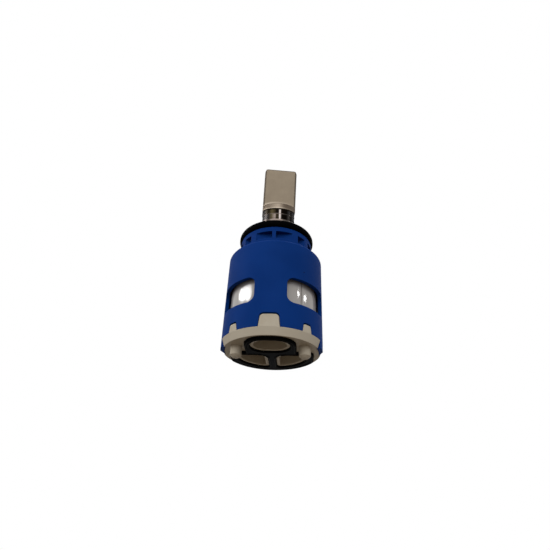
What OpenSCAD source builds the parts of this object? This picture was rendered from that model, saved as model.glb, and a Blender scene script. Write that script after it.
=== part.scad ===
// Single-lever ceramic disc mixer cartridge, in millimetres.
// Origin on the axis, in the plane of the base flange's underside.
// +Z points up to the lever, -Y to the side of the outlet port.

/* [Housing] */
// Outside diameter of the housing
body_d = 40; // [39:0.5:42]
// Thickness of the housing's side wall
body_wall = 1.5; // [1.3:0.1:1.7]
// Height of the housing's shoulder
shoulder_z = 40.6; // [40:0.2:42]
// Thickness of the shoulder, from ceiling to top
shoulder_wall = 2.2; // [2:0.1:2.6]
// Round along the shoulder's outer edge
shoulder_round = 1; // [0.6:0.1:1.4]
// Diameter of the neck above the shoulder
neck_d = 31.2; // [30.8:0.2:32.4]
// Height of the neck above the shoulder
neck_h = 9.5; // [9:0.1:10.5]
// Bore of the neck, in which the rotor turns
bore_d = 24.7; // [24.3:0.1:25.1]
// Height of the thin collar on top of the neck
collar_h = 1.9; // [1.7:0.1:2.2]
// Wall of the thin collar on top of the neck
collar_wall = 0.75; // [0.65:0.05:0.85]

/* [Windows and pockets] */
// Lower edge of the side windows
window_z = 13.3; // [12.9:0.1:13.7]
// Height of the side windows
window_h = 10.6; // [9.8:0.1:11]
// Direction of a front window's centre, from the front
window_azimuth = 48; // [47:0.2:48.4]
// Direction of a rear window's centre, from the back
rear_window_azimuth = 40; // [38:0.5:42]
// Width of a window, straight across
window_w = 20; // [19.4:0.2:20.6]
// Corner radius of the windows
window_round = 2.8; // [2:0.1:3.5]
// Height of the neck's coring pockets
pocket_h = 3.5; // [3:0.1:4]
// Band left above the pockets, under the neck's top
pocket_top_band = 2.1; // [1.8:0.1:2.4]

/* [Base] */
// Height of the base's flange
flange_h = 3; // [2.6:0.1:3.4]
// How much smaller the flange is at its underside, in radius
flange_draft = 1; // [0.5:0.1:1.2]
// Height of the base's top face
base_h = 7.4; // [7:0.1:7.8]
// Top of the two large tabs
tab_z = 7.8; // [7.4:0.1:8.2]
// Top of the four small tabs
side_tab_z = 5.9; // [5.5:0.1:6.3]
// Direction of the small tabs, from the front or the back
side_tab_azimuth = 43.6; // [42:0.2:45]
// Open height between a tab's top and its notch
notch_gap = 0.6; // [0.4:0.1:0.8]
// Where the housing's side lugs begin, from the front
lug_start = 70; // [69:0.5:72]
// Where the housing's side lugs end, from the front
lug_end = 95.5; // [94:0.5:97]
// Where the slanted end of a lug begins on the outside, from the front
lug_slant = 83; // [80:0.5:86]
// Diameter of the locating pins
pin_d = 4.4; // [4.1:0.1:4.7]
// Length of the locating pins below the flange
pin_l = 4.4; // [4:0.1:4.8]
// Chamfer at the tip of the locating pins
pin_chamfer = 0.9; // [0.6:0.1:1.1]
// Diameter of the circle that the locating pins stand on
pin_circle_d = 29.8; // [29.4:0.2:30.4]
// Direction of the locating pins, from the front
pin_azimuth = 60; // [58.5:0.5:61.5]

/* [Ports] */
// Width of the outlet's rim
outlet_w = 15.1; // [14.3:0.1:15.3]
// Length of the outlet's rim, front to back
outlet_l = 11.8; // [11:0.1:12.4]
// Distance of the outlet's centre in front of the axis
outlet_y = 10.15; // [9.9:0.05:10.4]
// Diameter of the circle that bounds the inlets' rims
inlet_d = 28.4; // [27.4:0.2:29]
// Distance between the two inlets' rims
spoke_w = 3.4; // [3:0.1:3.8]
// How far the inlets' rims reach in front of the axis
inlet_front = 0.5; // [0.2:0.1:0.8]
// Wall of the port rims
rim_wall = 1.2; // [1:0.1:1.4]
// How far the port rims stand below the flange
rim_proud = 0.35; // [0.2:0.05:0.5]
// Depth of the ports above the flange's underside
port_depth = 4.5; // [4.2:0.1:4.8]

/* [Seals] */
// Width of the base seal round the outlet's rim
seal_margin = 2.1; // [1.8:0.1:2.3]
// Rim of the flange's underside left behind the base seal
seal_edge = 1.2; // [1.1:0.1:1.6]
// How far the seal's straight sides lie inside its rear lobe's radius
seal_flat = 1.4; // [1:0.1:1.8]
// How far the rear lobe reaches in front of the axis
seal_front = 2.6; // [2.2:0.1:2.9]
// Depth of the base seal's groove
seal_groove = 1.5; // [1.3:0.1:1.8]
// How far the base seal stands below the flange
seal_proud = 0.9; // [0.7:0.1:1.2]
// Width of the seals between base and fixed disc
disc_seal_w = 1.5; // [1.3:0.05:1.6]
// How far those seals stand above the base
disc_seal_proud = 0.3; // [0.2:0.05:0.4]
// Depth of those seals' grooves
disc_seal_groove = 1.5; // [1.3:0.1:1.7]
// Width of the black ring on the neck, from inside to outside
ring_w = 3.3; // [3:0.1:3.5]
// Height of the black ring on the neck
ring_h = 3.8; // [3.6:0.1:4.2]
// Thickness of the ring in the rotor's neck
o_ring_cord_d = 1.3; // [1.1:0.1:1.5]

/* [Discs] */
// Thickness of the fixed disc
fixed_disc_h = 5; // [4.6:0.1:5.4]
// Diameter of the moving disc
moving_disc_d = 23.6; // [23:0.2:24.2]
// Thickness of the moving disc
moving_disc_h = 4.97; // [4.6:0.01:5.4]
// Width of the holes in the fixed disc
disc_hole_d = 4.3; // [4:0.1:4.5]
// Distance of the outlet hole in front of the axis
disc_outlet_y = 5.6; // [5.3:0.1:5.9]
// Half of the outlet hole's straight length
disc_outlet_pitch = 2; // [1.6:0.1:2.3]
// Distance of the inlet holes to each side
disc_inlet_x = 4.6; // [4.5:0.05:4.9]
// Distance of the inlet holes behind the axis
disc_inlet_y = 3.6; // [3.4:0.1:3.9]
// Thickness of the carrier's plate
carrier_h = 3.8; // [3.4:0.1:4.2]
// Height of the carrier's slotted hub above its plate
hub_h = 6; // [5.6:0.1:6.4]
// Wall of the carrier's hub, in front of and behind its slot
hub_wall = 2.2; // [1.9:0.1:2.5]

/* [Rotor] */
// Open space between the rotor's skirt and the housing
rotor_gap = 0.8; // [0.6:0.1:1.2]
// Thickness of the thrust ring
thrust_ring_h = 0.9; // [0.7:0.1:1.2]
// Diameter of the pivot pin
pivot_d = 4; // [3.6:0.1:4.4]
// Depth of the pivot's centre below the shoulder's top
pivot_drop = 0.6; // [0.2:0.1:1]
// Height of the stop ring
stop_ring_h = 1.4; // [1.2:0.1:1.8]

/* [Lever] */
// Width of the flat tang
tang_w = 14.7; // [14.2:0.1:15]
// Thickness of the flat tang
tang_t = 8.5; // [8:0.1:9]
// Length of the flat tang above the band
tang_l = 19.1; // [17:0.1:21]
// Round along the tang's edges
tang_round = 1; // [0.6:0.1:1.2]
// Distance from the pivot to the band's lower edge
band_start = 25.2; // [24.6:0.1:25.8]
// Height of the band below the tang
band_h = 2.4; // [2:0.1:3]
// Depth of the band, front to back
band_t = 14.4; // [13.8:0.1:14.8]
// Radius of the band's and the neck's bowed faces
bow_r = 9; // [8.5:0.5:11]
// Distance from the pivot to the polished neck's lower end
lever_neck_start = 16.8; // [16.4:0.1:17.4]
// How far the neck lies behind the band's face
neck_step = 0.3; // [0.2:0.05:0.5]
// Width of the lever's stem in the rotor
stem_w = 14; // [13.6:0.1:14.4]
// Thickness of the lever's stem in the rotor
stem_t = 8; // [7.5:0.1:8.4]
// Diameter of the lever's pivot hub
lever_hub_d = 11; // [10.4:0.2:11.4]
// Diameter of the shoe on the lever's lower end
shoe_d = 7.4; // [7:0.1:7.8]
// Width of the shoe
shoe_w = 8; // [7.6:0.1:8.4]

/* [Motion] */
// Whole tilt of the lever, from open to closed
tilt_travel = 25; // [22:0.5:25]
// Turn of the rotor in the pose shown
rest_turn = 7.5; // [0:0.5:20]
// Turn of the rotor to each side of the middle
turn_limit = 50; // [45:1:55]

/* [Clearances] */
// Radial clearance of round running fits
running = 0.06; // [0.03:0.01:0.08]
// Clearance between parts that slip together
slip = 0.1; // [0.08:0.01:0.14]
// Clearance between moulded parts that move past each other
pass = 0.3; // [0.25:0.05:0.4]
// Water film between the two ceramic discs
film = 0.03; // [0.02:0.01:0.05]

/* [Hidden] */
$fn = 96;

blue = [0.05, 0.22, 0.58];
ivory = [0.68, 0.64, 0.55];
black = [0.05, 0.05, 0.05];
white = [0.93, 0.93, 0.92];
ceramic = [0.95, 0.93, 0.88];
nickel = [0.60, 0.57, 0.51];
steel = [0.70, 0.70, 0.72];
grey = [0.55, 0.56, 0.58];

// Housing radii and heights
body_r = body_d / 2;
inner_r = body_r - body_wall;
neck_r = neck_d / 2;
bore_r = bore_d / 2;
collar_r = bore_r + collar_wall;
ceiling_z = shoulder_z - shoulder_wall;
neck_z = shoulder_z + neck_h;
collar_z = neck_z + collar_h;

// Each pocket runs from its first to its second angle, measured from the front or the back
pocket_spans = [[2.9, 28.9], [39.5, 54.2], [64.5, 79]];
pocket_z = neck_z - pocket_top_band - pocket_h;
pocket_step = 0.25;

// Base
base_r = inner_r - 2 * slip;
pin_r = pin_d / 2;
lug_gap = 1;
tab_foot = 0.1;
tab_half = 3.92;
tab_half_top = 3.5;
tab_round = 1.3;
side_tab_half = 2.18;
side_tab_half_top = 1.75;
side_tab_round = 0.7;
key_h = 4;
key_w = 3.8;
key_depth = 1.6;

// Ports and base seal
outlet_r = outlet_l / 2;
outlet_pitch = outlet_w / 2 - outlet_r;
inlet_r = inlet_d / 2;
inlet_inner_round = 4.2;
inlet_rear_round = 1.6;
inlet_outer_round = 2.2;
seal_r = body_r - flange_draft - seal_edge;
seal_side = seal_r - seal_flat;
seal_half = outlet_w / 2 + seal_margin;

// Seals between base and fixed disc
hole_r = disc_hole_d / 2;
disc_seal_in = hole_r + 0.6;
disc_seal_out = disc_seal_in + disc_seal_w;
disc_seal_z = base_h - disc_seal_groove;

// Disc stack
fixed_z = base_h + disc_seal_proud;
fixed_top = fixed_z + fixed_disc_h;
fixed_r = inner_r - 0.9;
moving_z = fixed_top + film;
moving_top = moving_z + moving_disc_h;
moving_r = moving_disc_d / 2;
carrier_lip = 1.5;
carrier_r = moving_r + slip + 0.8;
carrier_top = moving_top + carrier_h;
disc_key = 1.2;
disc_key_w = 4;
disc_key_h = 2;
mixing_seal_in = moving_r - 1.2;
mixing_seal_out = moving_r - 0.3;
mixing_seal_h = 0.8;

// Lever and carrier meet at the shoe
pivot_z = shoulder_z - pivot_drop;
tilt = tilt_travel / 2;
shoe_r = shoe_d / 2;
shoe_floor = 1.5;
shoe_z = carrier_top - shoe_floor + pass + shoe_r;
arm = pivot_z - shoe_z;
slide = 2 * arm * sin(tilt);
hub_top = carrier_top + hub_h;
slot_half = shoe_r + running;
hub_half = slot_half + hub_wall;
hub_w = shoe_w + 4;

// Mixing chamber of the moving disc, in the disc's own place
chamber_r = moving_r - 1.5;
chamber_half = 6.9;
chamber_rear = disc_inlet_y - hole_r - 0.5 + slide / 2;
chamber_front = disc_outlet_y + slide / 2;
silencer_top_gap = 0.1;
silencer_h = 3.2;
silencer_rim = 1;
silencer_bar = 1.1;
silencer_pitch = 2.6;

// Rotor
rotor_r = inner_r - rotor_gap;
rotor_z = fixed_top + 0.4;
thrust_z = ceiling_z - 0.05 - thrust_ring_h;
rotor_shoulder = thrust_z - 0.05;
rotor_neck_r = bore_r - running;
rotor_top = collar_z + slip + stop_ring_h;
pivot_r = pivot_d / 2;
pivot_half = sqrt(rotor_neck_r ^ 2 - pivot_r ^ 2) - slip;
lever_slot_half = stem_w / 2 + slip;
slot_step_z = neck_z - 1.6;
function tilted_half(t, s) = (t / 2 + s * sin(tilt)) / cos(tilt) + pass;
lower_slot = max(lever_hub_d / 2 + pass, tilted_half(stem_t, slot_step_z - pivot_z));
upper_slot = tilted_half(stem_t, rotor_top - pivot_z);
o_ring_r = o_ring_cord_d / 2;
o_ring_drop = 4.6;
o_ring_z = neck_z - o_ring_drop;
seam_azimuth = 33;
seam_w = 0.6;
seam_depth = 0.35;

// Stop ring and the collar's gap, in which its lug runs
stop_lug_half = 4;
stop_lug_l = 1.2;
stop_key = 1;
stop_key_w = 3;
stop_spare = 1.5;

// Lever
arm_w = 8;
arm_t = 6;
arm_tip_w = 6;
arm_tip_t = 4.4;
arm_tip_l = 5.5;
arm_tip_end = 1.8;
ridge_h = 0.3;
ridge_proud = 0.12;
ridge_places = [0.44, 0.69];
tang_start = band_start + band_h;
tang_end = tang_start + tang_l;
tang_corner = 2.2;

// Places

// Turns what is drawn at the front to an azimuth, counted from the front
module at_azimuth(azimuth) {
    rotate([0, 0, azimuth]) children();
}

// The drawing's x and y become the tangent and the height, extruded outwards at the front
module radial_prism(r0, r1) {
    rotate([90, 0, 0]) translate([0, 0, r0]) linear_extrude(r1 - r0) children();
}

// Part of a ring, from one azimuth to another
module ring_sector(r0, r1, z0, z1, azimuth0, azimuth1) {
    rotate_extrude(angle = azimuth1 - azimuth0, start = azimuth0 - 90)
        translate([r0, z0]) square([r1 - r0, z1 - z0]);
}

module ring(r0, r1, z0, z1) {
    translate([0, 0, z0]) difference() {
        cylinder(r = r1, h = z1 - z0);
        translate([0, 0, -1]) cylinder(r = r0, h = z1 - z0 + 2);
    }
}

module both_sides() {
    children();
    mirror([1, 0, 0]) children();
}

module front_and_back() {
    children();
    mirror([0, 1, 0]) children();
}

// A box centred in x and y, from one height to another
module block(w, l, z0, z1) {
    translate([-w / 2, -l / 2, z0]) cube([w, l, z1 - z0]);
}

// Pieces that turn with the rotor
module on_rotor() {
    rotate([0, 0, rest_turn]) children();
}

// Pieces that slide with the carrier, at the open end of their travel
module on_carrier() {
    on_rotor() translate([0, slide / 2, 0]) children();
}

// Pieces that tilt with the lever, drawn with the pivot as their origin
module on_lever() {
    on_rotor() translate([0, 0, pivot_z]) rotate([tilt, 0, 0]) children();
}

// Outlines

module rounded_rect(w, h, r) {
    square([w - 2 * r, h], center = true);
    square([w, h - 2 * r], center = true);
    for (x = [-1, 1], y = [-1, 1])
        translate([x * (w / 2 - r), y * (h / 2 - r)]) circle(r);
}

module stadium(pitch, r) {
    square([2 * pitch, 2 * r], center = true);
    for (x = [-1, 1]) translate([x * pitch, 0]) circle(r);
}

// A rounded upright tab standing on the flange
module tab_outline(half, half_top, top, round) {
    foot = flange_h - tab_foot;
    polygon([[-half, foot], [half, foot], [half_top, top - round], [half_top - round, top],
        [round - half_top, top], [-half_top, top - round]]);
    for (x = [-1, 1]) translate([x * (half_top - round), top - round]) circle(round);
}

// Width at which a round touches the circle r from inside and the line y = f from above
function touch_x(r, f, round) = sqrt((r - round) ^ 2 - (f + round) ^ 2);

// The right inlet: a quarter of a disc beside the spoke, with rounded corners
module inlet_outline(inset = 0) {
    side = spoke_w / 2;
    front = -inlet_front;
    outer = [touch_x(inlet_r, front, inlet_outer_round), front + inlet_outer_round];
    rear_x = side + inlet_rear_round;
    rear = [rear_x, sqrt((inlet_r - inlet_rear_round) ^ 2 - rear_x ^ 2)];
    inner = [side + inlet_inner_round, front + inlet_inner_round];
    far = 1.3;
    difference() {
        intersection() {
            circle(inlet_r - inset);
            translate([side + inset, front + inset]) square(inlet_d);
        }
        translate([side - 1, front - 1]) square([inlet_inner_round + 1, inlet_inner_round + 1]);
        polygon([[outer[0], front - 1], [inlet_d, front - 1], far * outer, outer]);
        polygon([[side - 1, rear[1]], rear, far * rear, [side - 1, inlet_d]]);
    }
    translate(inner) circle(inlet_inner_round - inset);
    translate(outer) circle(inlet_outer_round - inset);
    translate(rear) circle(inlet_rear_round - inset);
}

module outlet_outline(inset = 0) {
    translate([0, -outlet_y]) stadium(outlet_pitch, outlet_r - inset);
}

// All three ports of the base
module port_outlines(inset = 0) {
    outlet_outline(inset);
    both_sides() inlet_outline(inset);
}

// The base seal's outer outline: a front lobe, straight cheeks and a rear lobe with straight sides
module seal_outline(grow = 0) {
    corner_x = seal_side - seal_front;
    corner_r = seal_front + grow;
    outlet_outline(-seal_margin - grow);
    translate([-seal_half - grow, -outlet_y])
        square([2 * (seal_half + grow), outlet_y - seal_front / 2]);
    intersection() {
        circle(seal_r + grow);
        translate([-seal_side - grow, 0]) square([2 * (seal_side + grow), seal_r + 1]);
    }
    translate([-corner_x, -corner_r]) square([2 * corner_x, corner_r + 1]);
    both_sides() intersection() {
        translate([corner_x, 0]) circle(corner_r);
        translate([corner_x - 1, -corner_r - 1]) square([corner_r + 2, corner_r + 1]);
    }
}

// The bowed section of the lever's band and neck
module bowed_outline(w, t) {
    intersection() {
        translate([0, bow_r - t / 2]) circle(bow_r);
        translate([0, t / 2 - bow_r]) circle(bow_r);
        square([w, 2 * t], center = true);
    }
}

// The moving disc's mixing chamber
module chamber_outline(inset = 0) {
    intersection() {
        circle(chamber_r - inset);
        translate([-chamber_half + inset, -chamber_front + inset])
            square([2 * (chamber_half - inset), chamber_front + chamber_rear - 2 * inset]);
    }
}

// Housing

module housing_profile() {
    difference() {
        union() {
            square([body_r - shoulder_round, shoulder_z]);
            square([body_r, shoulder_z - shoulder_round]);
            translate([body_r - shoulder_round, shoulder_z - shoulder_round]) circle(shoulder_round);
            square([neck_r, neck_z]);
            square([collar_r, collar_z]);
        }
        translate([-1, -1]) square([inner_r + 1, ceiling_z + 1]);
        translate([-1, 0]) square([bore_r + 1, collar_z + 1]);
    }
}

// Where a tab of the base stands, the wall has a slightly larger notch
module tab_notch(half, half_top, top, round) {
    grow = 2 * slip;
    radial_prism(inner_r - 2, body_r + 1)
        tab_outline(half + grow, half_top + grow, top + notch_gap, round + grow);
}

module window_cut(azimuth) {
    start = sqrt(inner_r ^ 2 - window_w ^ 2 / 4) - 0.6;
    at_azimuth(azimuth) radial_prism(start, body_r + 1)
        translate([0, window_z + window_h / 2]) rounded_rect(window_w, window_h, window_round);
}

// The pockets have flat backs, as a side-pulled mould leaves them
module neck_pockets() {
    for (span = pocket_spans) {
        x0 = neck_r * sin(span[0]);
        x1 = neck_r * sin(span[1]);
        radial_prism(neck_r * cos(span[1]) - pocket_step, neck_r + 1)
            translate([x0, pocket_z]) square([x1 - x0, pocket_h]);
    }
}

// What a lug's slanted end leaves off, from the outer wall to the inner one
module lug_end_cut(h) {
    outer = body_r * [sin(lug_slant), -cos(lug_slant)];
    inner = inner_r * [sin(lug_end), -cos(lug_end)];
    past = (inner - outer) / 4;
    translate([0, 0, -1]) linear_extrude(h + 1)
        polygon([outer - past, inner + past, [body_r + 1, inner[1] + past[1]]]);
}

module housing() {
    stop_gap = turn_limit + stop_lug_half + stop_spare;
    skirt_cut = flange_h + slip / 2;
    color(blue) difference() {
        rotate_extrude() housing_profile();
        ring_sector(inner_r - 1, body_r + 1, -1, skirt_cut, -lug_start, lug_start);
        ring_sector(inner_r - 1, body_r + 1, -1, skirt_cut, lug_end, 360 - lug_end);
        both_sides() lug_end_cut(skirt_cut);
        front_and_back() {
            tab_notch(tab_half, tab_half_top, tab_z, tab_round);
            both_sides() at_azimuth(side_tab_azimuth)
                tab_notch(side_tab_half, side_tab_half_top, side_tab_z, side_tab_round);
            both_sides() neck_pockets();
        }
        both_sides() window_cut(window_azimuth);
        both_sides() window_cut(180 - rear_window_azimuth);
        ring_sector(bore_r - 1, collar_r + 1, neck_z, collar_z + 1, 180 - stop_gap, 180 + stop_gap);
    }
}

// Base and its seal

module flange() {
    difference() {
        cylinder(r1 = body_r - flange_draft, r2 = body_r, h = flange_h);
        both_sides() ring_sector(base_r - 1, body_r + 1, -1, flange_h + 1,
            lug_start - lug_gap, lug_end + lug_gap);
    }
}

module base_tab(half, half_top, top, round) {
    intersection() {
        ring(fixed_r + 2 * slip, body_r - slip / 4, 0, top + 1);
        radial_prism(inner_r / 2, body_r + 1) tab_outline(half, half_top, top, round);
    }
}

module locating_pin() {
    at_azimuth(pin_azimuth) translate([0, -pin_circle_d / 2, 0]) {
        translate([0, 0, pin_chamfer - pin_l]) cylinder(r = pin_r, h = pin_l - pin_chamfer + 1);
        translate([0, 0, -pin_l]) cylinder(r1 = pin_r - pin_chamfer, r2 = pin_r, h = pin_chamfer);
    }
}

// Upright key at the side, which stops the fixed disc from turning
module disc_key_block() {
    inner = fixed_r - key_depth + slip;
    translate([inner, -key_w / 2, base_h - 1]) cube([base_r - slip - inner - 0.1, key_w, key_h + 1]);
}

// Holes of the fixed disc, which the base's upper ports share
module disc_holes() {
    translate([0, -disc_outlet_y]) stadium(disc_outlet_pitch, hole_r);
    both_sides() translate([disc_inlet_x, disc_inlet_y]) circle(hole_r);
}

module outlet_seal_outline(grow = 0) {
    translate([0, -disc_outlet_y]) difference() {
        stadium(disc_outlet_pitch, disc_seal_out + grow);
        stadium(disc_outlet_pitch, disc_seal_in - grow);
    }
}

module inlet_seal_outline(grow = 0) {
    translate([disc_inlet_x, disc_inlet_y]) difference() {
        circle(disc_seal_out + grow);
        circle(disc_seal_in - grow);
    }
}

module base() {
    color(ivory) union() {
        difference() {
            union() {
                difference() {
                    union() {
                        cylinder(r = base_r, h = base_h);
                        flange();
                    }
                    translate([0, 0, -1]) linear_extrude(seal_groove + 1) seal_outline(slip);
                }
                translate([0, 0, -rim_proud])
                    linear_extrude(rim_proud + seal_groove + 0.5) port_outlines();
            }
            translate([0, 0, -1]) linear_extrude(port_depth + 1) port_outlines(rim_wall);
            translate([0, 0, port_depth - 1]) linear_extrude(base_h) disc_holes();
            translate([0, 0, disc_seal_z]) linear_extrude(base_h) {
                outlet_seal_outline(slip);
                both_sides() inlet_seal_outline(slip);
            }
        }
        front_and_back() {
            base_tab(tab_half, tab_half_top, tab_z, tab_round);
            both_sides() at_azimuth(side_tab_azimuth)
                base_tab(side_tab_half, side_tab_half_top, side_tab_z, side_tab_round);
        }
        both_sides() locating_pin();
        both_sides() disc_key_block();
    }
}

module base_seal() {
    color(black) translate([0, 0, -seal_proud])
        linear_extrude(seal_proud + seal_groove) difference() {
            seal_outline();
            port_outlines(-slip);
        }
}

module collar_ring() {
    ring_r = ring_w / 2;
    color(black) translate([0, 0, neck_z + ring_h / 2]) rotate_extrude()
        translate([collar_r + slip + ring_r, 0]) rotate([0, 0, 90]) stadium(ring_h / 2 - ring_r, ring_r);
}

// Fixed disc and its seals

module fixed_disc() {
    notch_w = key_w + 2 * slip;
    color(ceramic) translate([0, 0, fixed_z]) linear_extrude(fixed_disc_h) difference() {
        circle(fixed_r);
        disc_holes();
        both_sides() translate([fixed_r - key_depth, -notch_w / 2]) square([key_depth + 1, notch_w]);
    }
}

module outlet_seal() {
    color(black) translate([0, 0, disc_seal_z])
        linear_extrude(fixed_z - disc_seal_z) outlet_seal_outline();
}

module inlet_seal() {
    color(black) translate([0, 0, disc_seal_z])
        linear_extrude(fixed_z - disc_seal_z) inlet_seal_outline();
}

module hot_inlet_seal() {
    mirror([1, 0, 0]) inlet_seal();
}

module cold_inlet_seal() {
    inlet_seal();
}

// Moving disc, its carrier and what lies between them

module moving_disc() {
    notch_w = disc_key_w + 2 * slip;
    color(ceramic) on_carrier() translate([0, 0, moving_z]) difference() {
        cylinder(r = moving_r, h = moving_disc_h);
        translate([0, 0, -1]) linear_extrude(moving_disc_h + 2) chamber_outline();
        both_sides() translate([moving_r - disc_key, -notch_w / 2, moving_disc_h - disc_key_h])
            cube([disc_key + 1, notch_w, disc_key_h + 1]);
    }
}

module silencer_insert() {
    bars = floor(chamber_half / silencer_pitch);
    color(grey) on_carrier() translate([0, 0, moving_top - silencer_top_gap - silencer_h]) {
        linear_extrude(silencer_h) difference() {
            chamber_outline(slip);
            chamber_outline(slip + silencer_rim);
        }
        linear_extrude(silencer_bar) intersection() {
            chamber_outline(slip + silencer_rim / 2);
            for (i = [-bars:bars])
                translate([i * silencer_pitch - silencer_bar / 2, -moving_r])
                    square([silencer_bar, moving_disc_d]);
        }
    }
}

module mixing_seal() {
    color(black) on_carrier()
        ring(mixing_seal_in, mixing_seal_out, moving_top, moving_top + mixing_seal_h);
}

module disc_carrier() {
    key_in = moving_r - disc_key + slip;
    color(white) on_carrier() difference() {
        union() {
            translate([0, 0, moving_top]) cylinder(r = carrier_r, h = carrier_h);
            ring(moving_r + slip, carrier_r, moving_top - carrier_lip, moving_top + 1);
            block(hub_w, 2 * hub_half, carrier_top - 1, hub_top);
            both_sides() translate([key_in, -disc_key_w / 2, moving_top - disc_key_h + slip])
                cube([carrier_r - key_in - 0.3, disc_key_w, disc_key_h]);
        }
        ring(mixing_seal_in - slip, mixing_seal_out + slip, moving_top - 0.01,
            moving_top + mixing_seal_h + slip);
        block(shoe_w + 4 * slip, 2 * slot_half, shoe_z - shoe_r - pass, hub_top + 1);
    }
}

// Rotor and what it carries

// The carrier's lower cavity is long enough for its whole slide
module carrier_cavity() {
    rotate([0, 0, 90]) linear_extrude(carrier_top + pass - rotor_z + 1)
        stadium(slide / 2 + slip, carrier_r + running);
}

module rotor() {
    seam_r = rotor_r - seam_depth;
    color(white) on_rotor() difference() {
        union() {
            translate([0, 0, rotor_z]) cylinder(r = rotor_r, h = rotor_shoulder - rotor_z);
            translate([0, 0, rotor_shoulder - 1])
                cylinder(r = rotor_neck_r, h = rotor_top - rotor_shoulder + 1);
        }
        translate([0, 0, rotor_z - 1]) carrier_cavity();
        block(hub_w + 2 * pass, 2 * hub_half + slide + 2 * pass, carrier_top, hub_top + pass);
        block(2 * lever_slot_half, 2 * lower_slot, hub_top, slot_step_z + 1);
        block(2 * lever_slot_half, 2 * upper_slot, slot_step_z, rotor_top + 1);
        translate([-body_r, 0, pivot_z]) rotate([0, 90, 0])
            cylinder(r = pivot_r + 0.01, h = body_d);
        ring(rotor_neck_r - o_ring_cord_d, rotor_neck_r + 1, o_ring_z - o_ring_r - slip,
            o_ring_z + o_ring_r + slip);
        both_sides() translate([rotor_neck_r - stop_key - slip, -stop_key_w / 2 - slip,
            rotor_top - stop_ring_h - slip]) cube([stop_key + 1, stop_key_w + 2 * slip, stop_ring_h + 1]);
        for (azimuth = [seam_azimuth, seam_azimuth + 180])
            at_azimuth(azimuth) translate([-seam_w / 2, -rotor_r - 1, rotor_z - 1])
                cube([seam_w, rotor_r + 1 - seam_r, rotor_shoulder - rotor_z + 2]);
    }
}

module rotor_o_ring() {
    color(black) on_rotor() translate([0, 0, o_ring_z]) rotate_extrude()
        translate([rotor_neck_r - o_ring_r + running / 2, 0]) circle(o_ring_r - 0.01);
}

module thrust_ring() {
    color(grey) ring(bore_r + slip, rotor_r - slip, thrust_z, thrust_z + thrust_ring_h);
}

module stop_ring() {
    z0 = collar_z + slip;
    color(grey) on_rotor() {
        ring(rotor_neck_r + 0.02, collar_r, z0, rotor_top);
        both_sides() translate([rotor_neck_r - stop_key, -stop_key_w / 2, z0])
            cube([stop_key + collar_wall / 2, stop_key_w, stop_ring_h]);
        ring_sector(bore_r + slip / 2, collar_r, z0 - stop_lug_l, z0 + 0.1,
            180 - stop_lug_half, 180 + stop_lug_half);
    }
}

module pivot_pin() {
    color(steel) on_rotor() translate([-pivot_half, 0, pivot_z]) rotate([0, 90, 0])
        cylinder(r = pivot_r, h = 2 * pivot_half);
}

// Lever and its shoe

module tang() {
    height = 2 * tang_l;
    intersection() {
        translate([0, 0, tang_start - 1]) linear_extrude(tang_l + 1)
            rounded_rect(tang_w, tang_t, tang_round);
        translate([0, tang_t, tang_end - height / 2]) rotate([90, 0, 0])
            linear_extrude(2 * tang_t) rounded_rect(tang_w, height, tang_corner);
        translate([-tang_w, 0, tang_end - height / 2]) rotate([90, 0, 90])
            linear_extrude(2 * tang_w) rounded_rect(tang_t, height, tang_round);
    }
}

module lever_neck() {
    neck_l = band_start - lever_neck_start;
    width = tang_w - 2 * neck_step;
    depth = band_t - 2 * neck_step;
    translate([0, 0, lever_neck_start]) linear_extrude(neck_l + 1) bowed_outline(width, depth);
    for (place = ridge_places)
        translate([0, 0, lever_neck_start + place * neck_l]) linear_extrude(ridge_h)
            bowed_outline(width + 2 * ridge_proud, depth + 2 * ridge_proud);
}

module lever() {
    color(nickel) on_lever() difference() {
        union() {
            tang();
            translate([0, 0, band_start]) linear_extrude(band_h) bowed_outline(tang_w, band_t);
            lever_neck();
            block(stem_w, stem_t, 0, lever_neck_start + 1);
            translate([-stem_w / 2, 0, 0]) rotate([0, 90, 0]) cylinder(d = lever_hub_d, h = stem_w);
            block(arm_w, arm_t, arm_tip_l - arm, 0);
            block(arm_tip_w, arm_tip_t, -arm - arm_tip_end, arm_tip_l - arm + 1);
        }
        translate([-stem_w, 0, 0]) rotate([0, 90, 0])
            cylinder(r = pivot_r + running, h = 2 * stem_w);
    }
}

module lever_shoe() {
    color(white) on_lever() translate([0, 0, -arm]) difference() {
        translate([-shoe_w / 2, 0, 0]) rotate([0, 90, 0]) cylinder(r = shoe_r, h = shoe_w);
        block(arm_tip_w + slip, arm_tip_t + slip, -arm_tip_end - slip / 2, shoe_r + 1);
    }
}

housing();
base();
base_seal();
collar_ring();
fixed_disc();
outlet_seal();
hot_inlet_seal();
cold_inlet_seal();
thrust_ring();
rotor();
rotor_o_ring();
stop_ring();
pivot_pin();
lever();
lever_shoe();
disc_carrier();
moving_disc();
mixing_seal();
silencer_insert();
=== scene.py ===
import math

import bpy
import numpy as np
from mathutils import Matrix, Vector


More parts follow.
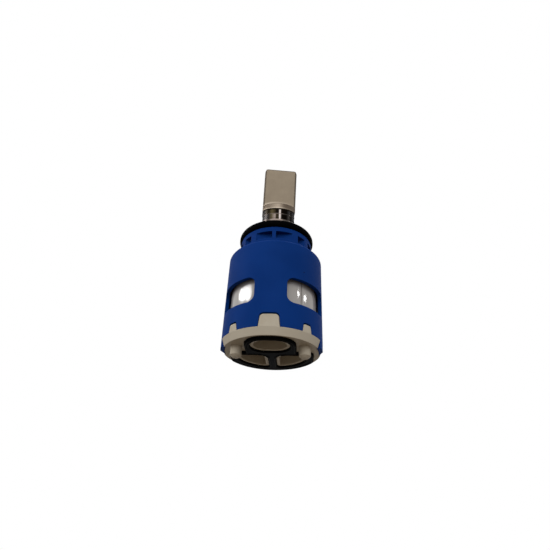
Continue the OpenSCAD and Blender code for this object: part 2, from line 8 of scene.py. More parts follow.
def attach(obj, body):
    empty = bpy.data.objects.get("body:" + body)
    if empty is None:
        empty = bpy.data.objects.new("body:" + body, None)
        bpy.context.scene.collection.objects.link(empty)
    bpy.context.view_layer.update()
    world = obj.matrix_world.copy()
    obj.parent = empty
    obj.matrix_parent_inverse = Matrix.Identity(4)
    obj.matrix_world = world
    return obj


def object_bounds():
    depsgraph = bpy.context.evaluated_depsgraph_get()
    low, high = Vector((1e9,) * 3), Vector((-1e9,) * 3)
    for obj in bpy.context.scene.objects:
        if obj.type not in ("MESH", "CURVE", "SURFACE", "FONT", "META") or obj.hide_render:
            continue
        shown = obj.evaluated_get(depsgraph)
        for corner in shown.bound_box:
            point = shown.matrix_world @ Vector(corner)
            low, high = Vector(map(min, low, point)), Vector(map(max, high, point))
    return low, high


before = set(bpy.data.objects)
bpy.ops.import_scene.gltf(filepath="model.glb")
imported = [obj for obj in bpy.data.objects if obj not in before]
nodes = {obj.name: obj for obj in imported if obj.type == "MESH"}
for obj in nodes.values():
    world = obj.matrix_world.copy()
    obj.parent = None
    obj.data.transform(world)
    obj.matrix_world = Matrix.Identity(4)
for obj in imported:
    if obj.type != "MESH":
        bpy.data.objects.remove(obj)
cadLow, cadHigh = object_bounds()
print("frame loaded:", len(nodes), "nodes")


def srgb(red, green, blue):
    # display values of 0 to 255 to linear colour
    v = np.array([red, green, blue]) / 255
    lin = np.where(v <= 0.04045, v / 12.92, ((v + 0.055) / 1.055) ** 2.4)
    return (*lin.tolist(), 1.0)


class Wire:
    # wraps one output socket; sums and products of wires add Math nodes
    def __init__(self, tree, socket=None):
        self.tree = tree
        self.socket = socket

    def node(self, kind, settings=None, inputs=None, out=0):
        made = self.tree.nodes.new(kind)
        for key, value in (settings or {}).items():
            if key == "stops":
                ramp = made.color_ramp.elements
                ramp[0].color = value[0][1]
                ramp[1].color = value[-1][1]
                for place, tone in value[1:-1]:
                    ramp.new(place).color = tone
            else:
                setattr(made, key, value)
        for key, value in (inputs or {}).items():
            if isinstance(value, Wire):
                self.tree.links.new(value.socket, made.inputs[key])
            else:
                made.inputs[key].default_value = value
        return Wire(self.tree, made.outputs[out])

    def maths(self, operation, a, b=0.0):
        return self.node("ShaderNodeMath", {"operation": operation}, {0: a, 1: b})

    def __add__(self, other):
        return self.maths("ADD", self, other)

    def __radd__(self, other):
        return self.maths("ADD", other, self)

    def __sub__(self, other):
        return self.maths("SUBTRACT", self, other)

    def __rsub__(self, other):
        return self.maths("SUBTRACT", other, self)

    def __mul__(self, other):
        return self.maths("MULTIPLY", self, other)

    def __rmul__(self, other):
        return self.maths("MULTIPLY", other, self)

    def __truediv__(self, other):
        return self.maths("DIVIDE", self, other)

    def __abs__(self):
        return self.maths("ABSOLUTE", self)

    def step(self, low, high):
        # smooth rise from 0 at low to 1 at high
        return self.node("ShaderNodeMapRange", {"interpolation_type": "SMOOTHSTEP"},
                         {"Value": self, "From Min": low, "From Max": high})

    def within(self, low, high, soft):
        # 1 between low and high, with soft ends
        return self.step(low - soft, low + soft) * (1 - self.step(high - soft, high + soft))

    def noise(self, scale, detail=3.0, rough=0.55):
        # noise over the coordinate that this wire carries, 0 to 1
        return self.node("ShaderNodeTexNoise", None,
                         {"Vector": self, "Scale": scale, "Detail": detail, "Roughness": rough})

    def along(self, axis):
        # how far this vector reaches in the direction of an axis
        return self.node("ShaderNodeVectorMath", {"operation": "DOT_PRODUCT"},
                         {0: self, 1: axis}, "Value")

    def tone(self, low, high):
        # colour from low to high as this wire goes from 0 to 1
        return self.node("ShaderNodeMix", {"data_type": "RGBA"}, {0: self, 6: low, 7: high}, 2)

    def bands(self, stops, tones):
        # colour by this length; each stop is a place in millimetres and the name of a tone
        first, last = stops[0][0], stops[-1][0]
        marks = [((at - first) / (last - first), srgb(*tones[name])) for at, name in stops]
        share = (self * 1000 - first) / (last - first)
        return self.node("ShaderNodeValToRGB", {"stops": marks}, {"Fac": share})


# bevel samples, the change of normal that counts as a full edge, and how nearly a facet
# has to face away from the axis before it is shaded as a true cylinder
rounding = {"samples": 6, "edge": (0.0, 0.28), "facet": (0.985, 0.995)}


class Finish:
    # a Principled material with its coordinate wire and normal, rounded at edges by the edge radius
    def __init__(self, name, edgeRadius=0.0, **constants):
        self.material = bpy.data.materials.new(name)
        self.material.use_nodes = True
        tree = self.material.node_tree
        self.shader = tree.nodes["Principled BSDF"]
        self.wire = Wire(tree)
        for key, value in constants.items():
            self.shader.inputs[key.replace("_", " ")].default_value = value
        self.place = self.wire.node("ShaderNodeTexCoord", out="Object")
        self.normal = self.wire.node("ShaderNodeNewGeometry", out="Normal")
        if edgeRadius:
            flat = self.normal
            self.normal = self.wire.node("ShaderNodeBevel", {"samples": rounding["samples"]},
                                         {"Radius": edgeRadius})
            self.edge = (1 - self.normal.along(flat)).step(*rounding["edge"])

    def height(self):
        return self.place.along((0.0, 0.0, 1.0))

    def level(self):
        # the coordinate with its height taken out
        return self.wire.node("ShaderNodeVectorMath", {"operation": "MULTIPLY"},
                              {0: self.place, 1: (1, 1, 0)})

    def roundAboutAxis(self):
        # a facet that faces away from the upright axis takes the normal of the true cylinder
        flat = self.normal
        out = self.wire.node("ShaderNodeVectorMath", {"operation": "NORMALIZE"}, {0: self.level()})
        turned = self.wire.node("ShaderNodeVectorTransform", {
            "vector_type": "NORMAL", "convert_from": "OBJECT", "convert_to": "WORLD"}, {0: out})
        same = turned.along(flat).step(*rounding["facet"])
        self.normal = self.wire.node("ShaderNodeMix", {"data_type": "VECTOR"},
                                     {0: same, 4: flat, 5: turned}, 1)

    def feed(self, key, wire):
        self.wire.tree.links.new(wire.socket, self.shader.inputs[key])

    def bump(self, height, strength, distance):
        raised = self.wire.node("ShaderNodeBump", None, {
            "Strength": strength, "Distance": distance, "Height": height, "Normal": self.normal})
        self.feed("Normal", raised)


# Finishes

# Each dictionary gives tones, lengths in metres, noise scales per metre, the plain roughness, and
# the share of each noise in roughness and height; bump is the strength and depth of the relief.
# Any other pair of numbers is where a change over the surface starts and ends.

bluePaint = {
    "mid": srgb(8, 49, 116), "deep": srgb(5, 45, 109), "edge": srgb(20, 66, 142),
    "speck": srgb(4, 12, 30), "specular": 0.025, "edgeRadius": 0.00028, "paintedEdgeMix": 0.55,
    "speckAt": (0.01253, -0.01559, 0.02782), "speckSize": (0.000168, 0.000364), "speckMix": 0.85,
    "driftScale": 55.0, "drift": (0.35, 0.65), "cloudScale": 420.0, "grainScale": 5200.0,
    "roughness": 0.5, "cloudRough": 0.12, "grainRough": 0.06,
    "partingHalf": (0.00004, 0.00012), "partingHeight": 1.6,
    "cloudHeight": 0.3, "grainHeight": 0.55, "bump": (0.35, 0.00004),
}


def makeBluePlastic():
    # moulded polyamide: broad tone drift, spark grain, painted highlight on edges, side parting
    # lines, one speck
    p = bluePaint
    f = Finish("bluePlastic", p["edgeRadius"], Specular_IOR_Level=p["specular"])
    drift = f.place.noise(p["driftScale"], 2.0).step(*p["drift"])
    colour = drift.tone(p["deep"], p["mid"])
    # painted highlight: the edges are mixed towards the lighter edge tone
    edgeHighlighted = (f.edge * p["paintedEdgeMix"]).tone(colour, p["edge"])
    near = f.wire.node("ShaderNodeVectorMath", {"operation": "DISTANCE"},
                       {0: f.place, 1: p["speckAt"]}, "Value")
    speck = 1 - near.step(*p["speckSize"])
    f.feed("Base Color", (speck * p["speckMix"]).tone(edgeHighlighted, p["speck"]))
    grain = f.place.noise(p["grainScale"], 2.0, 0.6)
    cloud = f.place.noise(p["cloudScale"], 3.0)
    f.feed("Roughness", p["roughness"] + cloud * p["cloudRough"] + grain * p["grainRough"])
    parting = 1 - abs(f.place.along((0.0, 1.0, 0.0))).step(*p["partingHalf"])
    relief = grain * p["grainHeight"] + cloud * p["cloudHeight"] + parting * p["partingHeight"]
    f.bump(relief, *p["bump"])
    return f.material


ivoryPaint = {
    "mid": srgb(177, 169, 153), "warm": srgb(168, 158, 141), "edge": srgb(192, 184, 168),
    "specular": 0.12, "edgeRadius": 0.00026, "paintedEdgeMix": 0.5,
    "rimRadius": (0.0187, 0.019), "rimTop": (0.0029, 0.0031), "rimMix": 0.45,
    "driftScale": 90.0, "drift": (0.3, 0.7), "flowScale": 260.0, "grainScale": 4300.0,
    "roughness": 0.46, "flowRough": 0.14, "grainRough": 0.06,
    "flowHeight": 0.5, "grainHeight": 0.5, "bump": (0.3, 0.00004),
}


def makeIvoryPlastic():
    # filled acetal: warm drift, faint flow lines, fine grain; painted highlight on edges, and the
    # flange's drafted face, which faces down into shade, painted paler
    p = ivoryPaint
    f = Finish("ivoryPlastic", p["edgeRadius"], Specular_IOR_Level=p["specular"])
    drift = f.place.noise(p["driftScale"], 3.0).step(*p["drift"])
    colour = drift.tone(p["warm"], p["mid"])
    # painted light: the flange's drafted face and the edges are mixed towards the paler edge tone
    radius = f.wire.node("ShaderNodeVectorMath", {"operation": "LENGTH"}, {0: f.level()}, "Value")
    rim = radius.step(*p["rimRadius"]) * (1 - f.height().step(*p["rimTop"]))
    pale = f.wire.maths("MAXIMUM", f.edge * p["paintedEdgeMix"], rim * p["rimMix"])
    f.feed("Base Color", pale.tone(colour, p["edge"]))
    grain = f.place.noise(p["grainScale"], 2.0, 0.6)
    flow = f.place.noise(p["flowScale"], 4.0)
    f.feed("Roughness", p["roughness"] + flow * p["flowRough"] + grain * p["grainRough"])
    f.bump(grain * p["grainHeight"] + flow * p["flowHeight"], *p["bump"])
    return f.material


rubberPaint = {
    "mid": srgb(4, 4, 5), "dusty": srgb(14, 13, 13), "sheenAndWear": srgb(28, 27, 26),
    "specular": 0.003, "edgeRadius": 0.0003, "paintedEdgeMix": 0.5,
    "crest": (-0.0011, -0.00092), "crestMix": 0.7,
    "bloomScale": 320.0, "bloom": (0.5, 0.8), "bloomMix": 0.5, "grainScale": 6500.0,
    "roughness": 0.38, "bloomRough": 0.2, "grainRough": 0.08,
    "bloomHeight": 0.4, "bump": (0.25, 0.00003),
}


def makeBlackRubber():
    # nitrile rubber: near black, a little dusty bloom; painted sheen makes it greyer on edges, and
    # painted sheen with some wear on the lips' crests
    p = rubberPaint
    f = Finish("blackRubber", p["edgeRadius"], Specular_IOR_Level=p["specular"])
    bloom = f.place.noise(p["bloomScale"], 4.0).step(*p["bloom"])
    dull = (bloom * p["bloomMix"]).tone(p["mid"], p["dusty"])
    # painted sheen: the lips' crests, a little worn too, and the edges are mixed towards a lighter
    # grey
    crest = 1 - f.height().step(*p["crest"])
    sheenAndWear = f.wire.maths("MAXIMUM", crest * p["crestMix"], f.edge * p["paintedEdgeMix"])
    f.feed("Base Color", sheenAndWear.tone(dull, p["sheenAndWear"]))
    grain = f.place.noise(p["grainScale"], 2.0, 0.6)
    f.feed("Roughness", p["roughness"] + bloom * p["bloomRough"] + grain * p["grainRough"])
    f.bump(grain + bloom * p["bloomHeight"], *p["bump"])
    return f.material


whitePaint = {
    "mid": srgb(166, 162, 158), "shade": srgb(156, 152, 149), "film": srgb(104, 102, 110),
    "specular": 0.35, "filmLow": 0.023, "filmHigh": 0.034, "filmSoft": 0.0025,
    "driftScale": 120.0, "hazeScale": 700.0, "waveScale": 260.0,
    "roughness": 0.05, "hazeRough": 0.015, "driftHeight": 3.0, "bump": (0.02, 0.00004),
}


def makeWhiteGloss():
    # glossy acetal: slight waviness from the mould, and painted shade in a grey band towards the
    # thrust ring, from the height of the window tops
    p = whitePaint
    f = Finish("whiteGloss", Specular_IOR_Level=p["specular"])
    f.roundAboutAxis()
    drift = f.place.noise(p["driftScale"], 2.0)
    unshaded = drift.tone(p["shade"], p["mid"])
    # painted shade: a grey band from the height of the window tops upwards
    film = f.height().within(p["filmLow"], p["filmHigh"], p["filmSoft"])
    f.feed("Base Color", film.tone(unshaded, p["film"]))
    f.feed("Roughness", p["roughness"] + f.place.noise(p["hazeScale"], 3.0) * p["hazeRough"])
    f.bump(drift * p["driftHeight"] + f.place.noise(p["waveScale"], 1.0), *p["bump"])
    return f.material


ceramicPaint = {
    "mid": srgb(238, 233, 220), "shade": srgb(226, 219, 203), "specular": 0.55,
    "mottleScale": 900.0, "lapScale": 5200.0, "roughness": 0.16, "mottleRough": 0.12,
    "bump": (0.15, 0.00002),
}


def makeDiscCeramic():
    # lapped alumina: fine mottling, faces polished to a low sheen
    p = ceramicPaint
    f = Finish("discCeramic", Specular_IOR_Level=p["specular"])
    mottle = f.place.noise(p["mottleScale"], 4.0)
    f.feed("Base Color", mottle.tone(p["shade"], p["mid"]))
    f.feed("Roughness", p["roughness"] + mottle * p["mottleRough"])
    f.bump(f.place.noise(p["lapScale"], 2.0), *p["bump"])
    return f.material


# the lever's pose at rest, and places along it from the pivot
lever = {
    "turn": math.radians(7.5), "tilt": math.radians(12.5), "pivotZ": 0.04,
    "lipEnd": 0.0202, "ridge": 0.0226, "bandStart": 0.0252, "tangStart": 0.0276,
    "bowRadius": 0.009, "bowBack": 0.0018, "faceDepth": 0.00425, "filletLean": 0.525,
}
# soft is the blur of a line across the lever, and line the width of a narrow one; the rounded
# edges, fillet, rim, crease, groove and ridge lines are painted light and shade
nickelPaint = {
    "rounded": (0.12, 0.6), "roundedFrom": 0.0004, "paintedEdgeMix": 0.85,
    "fillet": (0.0002, 0.0011), "filletMix": 0.9, "rim": (0.0004, 0.0008), "creaseMix": 0.45,
    "soft": 0.0001, "line": 0.0003, "sharp": 0.00006, "groove": (0.0007, 0.0003), "ridgeMix": 0.6,
    "blastScale": 3600.0, "cloudScale": 180.0, "cloudShare": 0.6, "satin": (0.3, 0.7),
    "drawn": 0.12, "swayScale": 620.0, "sway": 0.0004,
    "roughness": 0.42, "blastRough": 0.14, "neckRough": 0.2,
    "cloudHeight": 0.4, "bump": (0.3, 0.00004),
}
# satin and satinDark are the tang's own tones; the others paint highlights, shade and reflections
leverTones = {
    "satin": (112, 102, 88), "satinDark": (104, 94, 81), "edge": (68, 60, 51),
    "groove": (14, 10, 6), "pale": (152, 141, 127), "fawn": (130, 119, 106),
    "tan": (110, 99, 86), "brown": (90, 79, 68), "grey": (34, 33, 33), "dark": (10, 7, 5),
    "ink": (30, 25, 16), "olive": (56, 49, 33), "rose": (104, 94, 88), "dusk": (74, 69, 65),
    "smoke": (48, 45, 43), "paintedHighlight": (162, 153, 148),
}
# painted reflections, highlights and shade across the lever's width, each tone from its place in
# millimetres
leverBands = {
    "fillet": ((-7.2, "pale"), (0, "fawn"), (7.2, "tan")),
    "band": ((-7.2, "brown"), (-0.4, "fawn"), (2, "brown"), (7.2, "brown")),
    "rim": ((-7.2, "tan"), (-0.5, "pale"), (3, "tan"), (7.2, "brown")),
    "lip": ((-7.2, "smoke"), (-3, "rose"), (1, "rose"), (3.4, "dusk"), (4.7, "dusk"),
            (7.2, "grey")),
    "upper": ((-7.2, "grey"), (-5, "ink"), (-3.2, "olive"), (-1.3, "dark"), (-0.3, "dark"),
              (0.28, "paintedHighlight"), (0.85, "dark"), (3.3, "dark"), (4.2, "grey"), (5.2, "dark"),
              (7.2, "grey")),
    "lower": ((-7.2, "grey"), (-4.9, "smoke"), (-3.4, "olive"), (-1.8, "rose"), (-1.2, "ink"),
              (-0.3, "ink"), (0.28, "paintedHighlight"), (1, "dark"), (3.3, "dark"), (4.1, "smoke"),
              (5.2, "dark"), (7.2, "grey")),
}


def leverAxes():
    # columns are the lever's own width, depth and length directions at rest
    spin = Matrix.Rotation(lever["turn"], 3, "Z") @ Matrix.Rotation(lever["tilt"], 3, "X")
    return [tuple(spin.col[i]) for i in range(3)]


def makeSatinNickel():
    # blasted tang; painted: shade on rounded edges and crease, highlights on fillet and band,
    # reflections on the polished neck
    p = nickelPaint
    f = Finish("satinNickel", Metallic=1.0)
    wide, deep, long = leverAxes()
    fromPivot = f.wire.node("ShaderNodeVectorMath", {"operation": "SUBTRACT"},
                            {0: f.place, 1: (0.0, 0.0, lever["pivotZ"])})
    x = fromPivot.along(wide)
    s = fromPivot.along(long)
    flat = {name: srgb(*tone) for name, tone in leverTones.items()}
    across = {name: x.bands(leverBands[name], leverTones)
              for name in ("fillet", "band", "rim", "lip")}
    start, top = lever["bandStart"], lever["tangStart"]

    # the mask for painted shade on the rounded edges: 0 on a flat face and 1 where the normal
    # stands midway between two faces
    facing = f.wire.node("ShaderNodeTexCoord", out="Normal")
    a, b, c = (facing.along(axis) * facing.along(axis) for axis in (wide, deep, long))
    rounded = ((a * b + a * c + b * c) * 4).step(*p["rounded"])
    rounded = rounded * s.step(top, top + p["roundedFrom"])
    blast = f.place.noise(p["blastScale"], 3.0, 0.65)
    cloud = f.place.noise(p["cloudScale"], 3.0)
    mottle = cloud * p["cloudShare"] + blast * (1 - p["cloudShare"])
    satin = mottle.step(*p["satin"]).tone(flat["satinDark"], flat["satin"])

    # the bowed band stands out by sqrt(R^2 - x^2) - back - face, and its fillet is taller there
    faceAt = lever["bowBack"] + lever["faceDepth"]
    bow = f.wire.maths("SQRT", lever["bowRadius"] ** 2 - x * x) - faceAt
    above = s - top - f.wire.maths("MAXIMUM", bow, 0.0) * lever["filletLean"]
    # painted highlight: a light line along the fillet above the band
    fillet = 1 - above.step(*p["fillet"])
    tang = (fillet * p["filletMix"]).tone(satin, across["fillet"])
    # painted shade: the rounded edges are mixed towards the dark edge tone
    tang = (rounded * p["paintedEdgeMix"]).tone(tang, flat["edge"])
    # painted highlight: a light rim at the bottom of the band, over band tones that are painted
    # reflection
    rim = 1 - (s - start).step(*p["rim"])
    band = rim.tone(across["band"], across["rim"])
    # painted shade: a dark line at the top of the band, where it meets the tang
    creaseShade = s.within(top - p["line"], top, p["soft"])
    band = (creaseShade * p["creaseMix"]).tone(band, flat["edge"])

    # painted reflections on the polished neck: bands across its width that run along it and sway a
    # little
    drawn = f.wire.node("ShaderNodeCombineXYZ", None, {"X": x, "Y": 0.0, "Z": s * p["drawn"]})
    swayed = x + (drawn.noise(p["swayScale"], 2.0, 0.5) - 0.5) * p["sway"]
    below = swayed.bands(leverBands["lower"], leverTones)
    over = swayed.bands(leverBands["upper"], leverTones)
    ridge, lipEnd, soft, line = lever["ridge"], lever["lipEnd"], p["soft"], p["line"]
    neckPaintedLight = s.step(ridge + soft - line, ridge + soft).tone(below, over)
    # painted highlight along the ridge, and painted reflection on the lip below it
    crest = s.within(ridge - soft, ridge - soft + line, soft)
    neckPaintedLight = (crest * p["ridgeMix"]).tone(neckPaintedLight, across["lip"])
    neckPaintedLight = (1 - s.step(lipEnd - line, lipEnd + soft)).tone(neckPaintedLight, across["lip"])
    # painted shade in the groove under the band
    deepFrom, deepTo = p["groove"]
    neckPaintedLight = s.step(start - deepFrom, start - deepTo).tone(neckPaintedLight, flat["groove"])

    neck = 1 - s.step(start - p["sharp"], start + p["sharp"])
    onTang = s.step(top - p["sharp"], top + p["sharp"])
    f.feed("Base Color", neck.tone(onTang.tone(band, tang), neckPaintedLight))
    blasted = p["roughness"] + blast * p["blastRough"]
    f.feed("Roughness", blasted * (1 - neck) + neck * p["neckRough"])
    f.bump((blast + cloud * p["cloudHeight"]) * (1 - neck), *p["bump"])
    return f.material


steelPaint = {
    "mid": srgb(178, 178, 182), "dark": srgb(140, 140, 145), "ringScale": 9000.0,
    "roughness": 0.22, "ringRough": 0.15, "bump": (0.2, 0.00002),
}


def makePinSteel():
    # ground pin: fine rings round its length
    p = steelPaint
    f = Finish("pinSteel", Metallic=1.0)
    wide = leverAxes()[0]
    along = f.wire.node("ShaderNodeCombineXYZ", None, {"X": f.place.along(wide)})
    rings = along.noise(p["ringScale"], 2.0)
    f.feed("Base Color", rings.tone(p["dark"], p["mid"]))
    f.feed("Roughness", p["roughness"] + rings * p["ringRough"])
    f.bump(rings, *p["bump"])
    return f.material


greyPaint = {
    "mid": srgb(150, 152, 156), "shade": srgb(134, 136, 140), "specular": 0.35,
    "driftScale": 200.0, "grainScale": 4800.0, "roughness": 0.36, "driftRough": 0.15,
    "bump": (0.2, 0.00003),
}


def makeGreyPlastic():
    # low-friction ring stock: even grey, soft sheen
    p = greyPaint
    f = Finish("greyPlastic", Specular_IOR_Level=p["specular"])
    drift = f.place.noise(p["driftScale"], 3.0)
    f.feed("Base Color", drift.tone(p["shade"], p["mid"]))
    f.feed("Roughness", p["roughness"] + drift * p["driftRough"])
    f.bump(f.place.noise(p["grainScale"], 2.0), *p["bump"])
    return f.material


finishes = {
    "bluePlastic": (makeBluePlastic(), ["housing"]),
    "ivoryPlastic": (makeIvoryPlastic(), ["base"]),
    "blackRubber": (makeBlackRubber(), ["base_seal", "collar_ring", "outlet_seal", "hot_inlet_seal",
                                        "cold_inlet_seal", "rotor_o_ring", "mixing_seal"]),
    "whiteGloss": (makeWhiteGloss(), ["rotor", "lever_shoe", "disc_carrier"]),
    "discCeramic": (makeDiscCeramic(), ["fixed_disc", "moving_disc"]),
    "satinNickel": (makeSatinNickel(), ["lever"]),
    "pinSteel": (makePinSteel(), ["pivot_pin"]),
    "greyPlastic": (makeGreyPlastic(), ["thrust_ring", "stop_ring", "silencer_insert"]),
}
for made, names in finishes.values():
    for name in names:
        mesh = nodes[name].data
        mesh.materials.clear()
        mesh.materials.append(made)
print("finishes on", sum(len(names) for made, names in finishes.values()), "nodes")


# Seal lips

# the bead's radius, sink and face in metres; inset and slip in millimetres, as the outlines are
sealLips = {"bead": 0.00034, "sink": 0.00012, "faceZ": -0.0009, "around": 12,
            "inset": 0.55, "slip": 0.1}

# outlines of the seal and the ports, in millimetres
sealPath = {"outletY": -10.15, "outletPitch": 1.65, "outletRound": 5.9, "margin": 2.1,
            "cheek": 9.65, "front": 2.6, "fillet": 0.7, "side": 16.4, "rear": 17.8,
            "inletRound": 14.2, "inletSide": 1.7, "inletFront": -0.5,
            "inletInner": 4.2, "inletOuter": 2.2, "inletRear": 1.6}
# evenly spaced points on each outline
loopPoints = {"seal": 360, "outlet": 180, "inlet": 200}


def arc(cx, cy, radius, start, end, count=24):
    # centre plus radius times cosine and sine, from start to end in degrees
    a = np.radians(np.linspace(start, end, count))
    return np.stack([cx + radius * np.cos(a), cy + radius * np.sin(a)], axis=1)


def evenLoop(parts, count):
    # joins arcs into one closed outline with evenly spaced points, in metres
    p = np.concatenate(parts)
    p = np.concatenate([p, p[:1]])
    run = np.concatenate([[0.0], np.cumsum(np.hypot(*np.diff(p, axis=0).T))])
    keep = np.concatenate([[True], np.diff(run) > 1e-9])
    at = np.linspace(0.0, run[-1], count, endpoint=False)
    return np.stack([np.interp(at, run[keep], p[keep, k]) for k in range(2)], axis=1) / 1000


def sealEdge(grow):
    # the seal's outline, moved outwards by grow: front lobe, cheeks, rear lobe, straight sides
    p = sealPath
    lobe = p["outletRound"] + p["margin"] + grow
    corner, inner = p["front"] + grow, p["fillet"] - grow
    inX, inY, cornerX = p["cheek"] + p["fillet"], -p["front"] - p["fillet"], p["side"] - p["front"]
    meet = math.degrees(math.acos((p["side"] + grow) / (p["rear"] + grow)))
    return evenLoop([
        arc(-p["outletPitch"], p["outletY"], lobe, 180, 270),
        arc(p["outletPitch"], p["outletY"], lobe, 270, 360),
        arc(inX, inY, inner, 180, 90, 8),
        arc(cornerX, 0.0, corner, 270, 360, 12),
        arc(0.0, 0.0, p["rear"] + grow, meet, 180 - meet, 120),
        arc(-cornerX, 0.0, corner, 180, 270, 12),
        arc(-inX, inY, inner, 90, 0, 8)], loopPoints["seal"])


def outletEdge(grow):
    # two half circles, one pitch to each side of the middle, joined by straight lines
    p = sealPath
    radius = p["outletRound"] + grow
    return evenLoop([
        arc(-p["outletPitch"], p["outletY"], radius, 90, 270, 40),
        arc(p["outletPitch"], p["outletY"], radius, 270, 450, 40)], loopPoints["outlet"])


def inletEdge(grow, side):
    # a quarter disc with three rounded corners, on the side given by its sign
    p = sealPath
    whole, inner, outer, rear = p["inletRound"], p["inletInner"], p["inletOuter"], p["inletRear"]
    outY = p["inletFront"] + outer
    outX = math.sqrt((whole - outer) ** 2 - outY ** 2)
    rearX = p["inletSide"] + rear
    rearY = math.sqrt((whole - rear) ** 2 - rearX ** 2)
    low, high = math.degrees(math.atan2(outY, outX)), math.degrees(math.atan2(rearY, rearX))
    loop = evenLoop([
        arc(p["inletSide"] + inner, p["inletFront"] + inner, inner + grow, 180, 270),
        arc(outX, outY, outer + grow, 270, 360 + low, 16),
        arc(0.0, 0.0, whole + grow, low, high, 60),
        arc(rearX, rearY, rear + grow, high, 180, 16)], loopPoints["inlet"])
    return loop * np.array([side, 1.0])


def beadRing(loop, settings):
    # a circle carried along a closed outline, square to it, its centre just inside the seal's face
    ahead = np.roll(loop, -1, axis=0) - np.roll(loop, 1, axis=0)
    ahead /= np.linalg.norm(ahead, axis=1)[:, None]
    side = np.stack([ahead[:, 1], -ahead[:, 0]], axis=1)
    turn = np.linspace(0.0, 2 * math.pi, settings["around"], endpoint=False)
    flat = loop[:, None, :] + side[:, None, :] * (settings["bead"] * np.cos(turn))[None, :, None]
    level = settings["faceZ"] + settings["sink"] + settings["bead"] * np.sin(turn)
    high = np.broadcast_to(level, flat.shape[:2])
    return np.concatenate([flat, high[:, :, None]], axis=2)


def closedGrid(grid):
    # quads of a grid that closes on itself both ways
    n, m = grid.shape[:2]
    i = np.arange(n * m).reshape(n, m)
    right, above = np.roll(i, -1, axis=0), np.roll(i, -1, axis=1)
    across = np.roll(right, -1, axis=1)
    return np.stack([i, right, across, above], axis=2).reshape(-1, 4)


def meshPiece(name, points, faces, material):
    # a smooth-shaded object at the origin, with its place in its mesh
    mesh = bpy.data.meshes.new(name)
    mesh.from_pydata(points.tolist(), [], faces.tolist())
    mesh.materials.append(material)
    mesh.polygons.foreach_set("use_smooth", np.ones(len(faces), bool))
    piece = bpy.data.objects.new(name, mesh)
    bpy.context.scene.collection.objects.link(piece)
    return piece


def outwards(points, faces):
    # turns the faces round if the closed shell's signed volume is negative
    a, b, c, d = (points[faces[:, k]] for k in range(4))
    volume = np.einsum("ij,ij->", a, np.cross(b, c)) + np.einsum("ij,ij->", a, np.cross(c, d))
    return faces if volume > 0 else faces[:, ::-1]


def makeSealLips():
    # one bead inside the seal's outer edge and one round each port
    inset = sealLips["inset"]
    off = sealLips["slip"] + inset
    loops = [sealEdge(-inset), outletEdge(off), inletEdge(off, 1), inletEdge(off, -1)]
    points, faces, count = [], [], 0
    for loop in loops:
        grid = beadRing(loop, sealLips)
        shell = grid.reshape(-1, 3)
        points.append(shell)
        faces.append(outwards(shell, closedGrid(grid)) + count)
        count += len(shell)
    piece = meshPiece("base_seal_lips", np.concatenate(points), np.concatenate(faces),
                      finishes["blackRubber"][0])
    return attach(piece, "body")


makeSealLips()
print("seal lips made")


# Stage

stage = {"floorHalf": 1.0, "floorDrop": 0.0002, "fade": (0.12, 0.5), "pale": srgb(238, 238, 236),
         "roughness": 0.9, "rise": (-0.3, 0.6),
         "ambientHigh": (0.85, 0.85, 0.85, 1.0), "ambientLow": (0.16, 0.13, 0.1, 1.0)}


def makeFloor():
    # a pale sheet under the object, seen from above only, which takes the shadow and fades to white
    half = stage["floorHalf"]
    corners = np.array([[-half, -half, 0], [half, -half, 0], [half, half, 0], [-half, half, 0]])
    corners[:, 2] = cadLow.z - stage["floorDrop"]
    mat = bpy.data.materials.new("paleFloor")
    mat.use_nodes = True
    tree = mat.node_tree
    wire = Wire(tree)
    shader = tree.nodes["Principled BSDF"]
    shader.inputs["Base Color"].default_value = stage["pale"]
    shader.inputs["Roughness"].default_value = stage["roughness"]
    shader.inputs["Specular IOR Level"].default_value = 0.0
    under = wire.node("ShaderNodeNewGeometry", out="Backfacing")
    clear = wire.node("ShaderNodeBsdfTransparent")
    pale = Wire(tree, shader.outputs[0])
    spot = wire.node("ShaderNodeTexCoord", out="Object")
    away = wire.node("ShaderNodeVectorMath", {"operation": "LENGTH"}, {0: spot}, "Value")
    gone = wire.maths("MAXIMUM", under, away.step(*stage["fade"]))
    both = wire.node("ShaderNodeMixShader", None, {0: gone, 1: pale, 2: clear})
    tree.links.new(both.socket, tree.nodes["Material Output"].inputs["Surface"])
    floor = meshPiece("floor", corners, np.array([[0, 1, 2, 3]]), mat)
    floor.visible_diffuse = False
    floor.visible_glossy = False
    floor.visible_transmission = False
    floor.visible_shadow = False


def makeWorld():
    # white to the camera, to gloss and to glass; as ambient light, weaker from below
    world = bpy.data.worlds.new("softWorld")
    bpy.context.scene.world = world
    world.use_nodes = True
    tree = world.node_tree
    wire = Wire(tree)
    path = tree.nodes.new("ShaderNodeLightPath")
    seen = Wire(tree, path.outputs["Is Camera Ray"]) + Wire(tree, path.outputs["Is Glossy Ray"])
    seen = seen + Wire(tree, path.outputs["Is Transmission Ray"])
    seen = wire.maths("MINIMUM", seen, 1.0)
    white = wire.node("ShaderNodeBackground", None, {"Color": (1, 1, 1, 1), "Strength": 1.0})
    upward = wire.node("ShaderNodeTexCoord", out="Generated").along((0.0, 0.0, 1.0))
    level = upward.step(*stage["rise"]).tone(stage["ambientLow"], stage["ambientHigh"])
    dim = wire.node("ShaderNodeBackground", None, {"Color": level, "Strength": 1.0})
    both = wire.node("ShaderNodeMixShader", None, {0: seen, 1: dim, 2: white})
    tree.links.new(both.socket, tree.nodes["World Output"].inputs["Surface"])


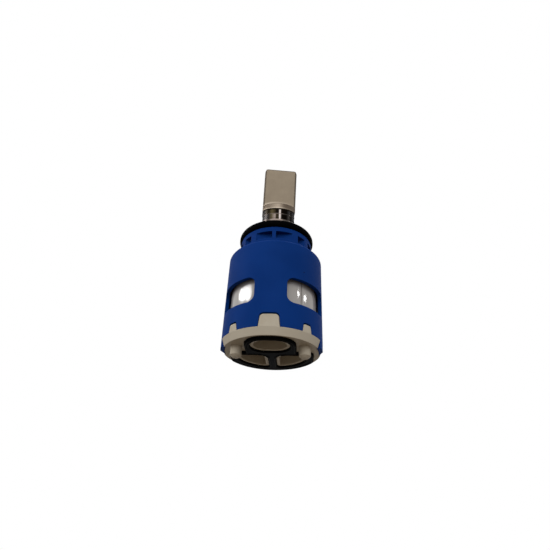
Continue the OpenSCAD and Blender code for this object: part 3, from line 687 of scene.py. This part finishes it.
# the narrow lamps shine through the windows and show in the gloss of the rotor
lamps = {
    "frontKey": {"at": (-0.06, -0.86, 0.42), "to": (0, 0, 0.03),
                 "size": (1.2, 1.1), "radiance": 1.56},
    "underFill": {"at": (0.02, -0.5, -0.5), "to": (0, 0, 0),
                  "size": (0.5, 0.4), "radiance": 0.28, "warmth": (1.0, 0.84, 0.66)},
    "leftMiddle": {"at": (-0.3753, -0.0828, 0.2147), "to": (-0.0099, -0.0144, 0.0189),
                   "size": (0.22, 0.02), "radiance": 17.0},
    "leftRear": {"at": (-0.3921, 0.0005, 0.2169), "to": (-0.0099, -0.0144, 0.0189),
                 "size": (0.165, 0.016), "radiance": 17.0},
    "leftFront": {"at": (-0.3549, -0.1654, 0.2195), "to": (-0.0099, -0.0144, 0.0189),
                  "size": (0.13, 0.02), "radiance": 17.0},
    "rightFront": {"at": (0.3608, -0.1355, 0.2160), "to": (0.0102, -0.0144, 0.0189),
                   "size": (0.052, 0.0065), "radiance": 30.0},
    "rightRear": {"at": (0.3847, 0.0133, 0.2116), "to": (0.0129, -0.0121, 0.0179),
                  "size": (0.075, 0.0075), "radiance": 30.0},
    "topSoft": {"at": (0.1, 0.25, 0.7), "to": (0, 0, 0.04),
                "size": (0.6, 0.6), "radiance": 0.9},
}


def makeLamp(name, settings):
    # an oval area lamp whose power gives the radiance asked for
    width, height = settings["size"]
    data = bpy.data.lights.new(name, "AREA")
    data.shape = "ELLIPSE"
    data.size, data.size_y = width, height
    data.energy = settings["radiance"] * math.pi * (math.pi / 4 * width * height)
    data.color = settings.get("warmth", (1.0, 1.0, 1.0))
    lamp = bpy.data.objects.new(name, data)
    lamp.location = settings["at"]
    aim = Vector(settings["to"]) - Vector(settings["at"])
    lamp.rotation_euler = aim.to_track_quat("-Z", "Y").to_euler()
    bpy.context.scene.collection.objects.link(lamp)


# angles in degrees, focal length in pixels of a picture 550 wide
camera = {"at": (0.01122, -0.1528, -0.05468), "pitch": 30.569, "bearing": 4.2, "roll": 2.5,
          "focal": 407.836, "across": 550, "sensor": 36.0, "clip": 0.005}


def makeCamera():
    # built from its forward, right and up directions, then rolled
    a, p, r = (math.radians(camera[k]) for k in ("bearing", "pitch", "roll"))
    forward = Vector((-math.sin(a) * math.cos(p), math.cos(a) * math.cos(p), math.sin(p)))
    right = Vector((math.cos(a), math.sin(a), 0.0))
    up = right.cross(forward)
    across = right * math.cos(r) + up * math.sin(r)
    above = up * math.cos(r) - right * math.sin(r)
    data = bpy.data.cameras.new("photoCamera")
    data.sensor_width = camera["sensor"]
    data.lens = camera["focal"] / camera["across"] * camera["sensor"]
    data.clip_start = camera["clip"]
    cam = bpy.data.objects.new("photoCamera", data)
    turn = Matrix((across, above, -forward)).transposed().to_4x4()
    cam.matrix_world = Matrix.Translation(camera["at"]) @ turn
    bpy.context.scene.collection.objects.link(cam)
    bpy.context.scene.camera = cam


makeFloor()
makeWorld()
for name, settings in lamps.items():
    makeLamp(name, settings)
makeCamera()
bpy.context.scene.view_settings.view_transform = "Standard"
print("stage set:", len(lamps), "lamps")
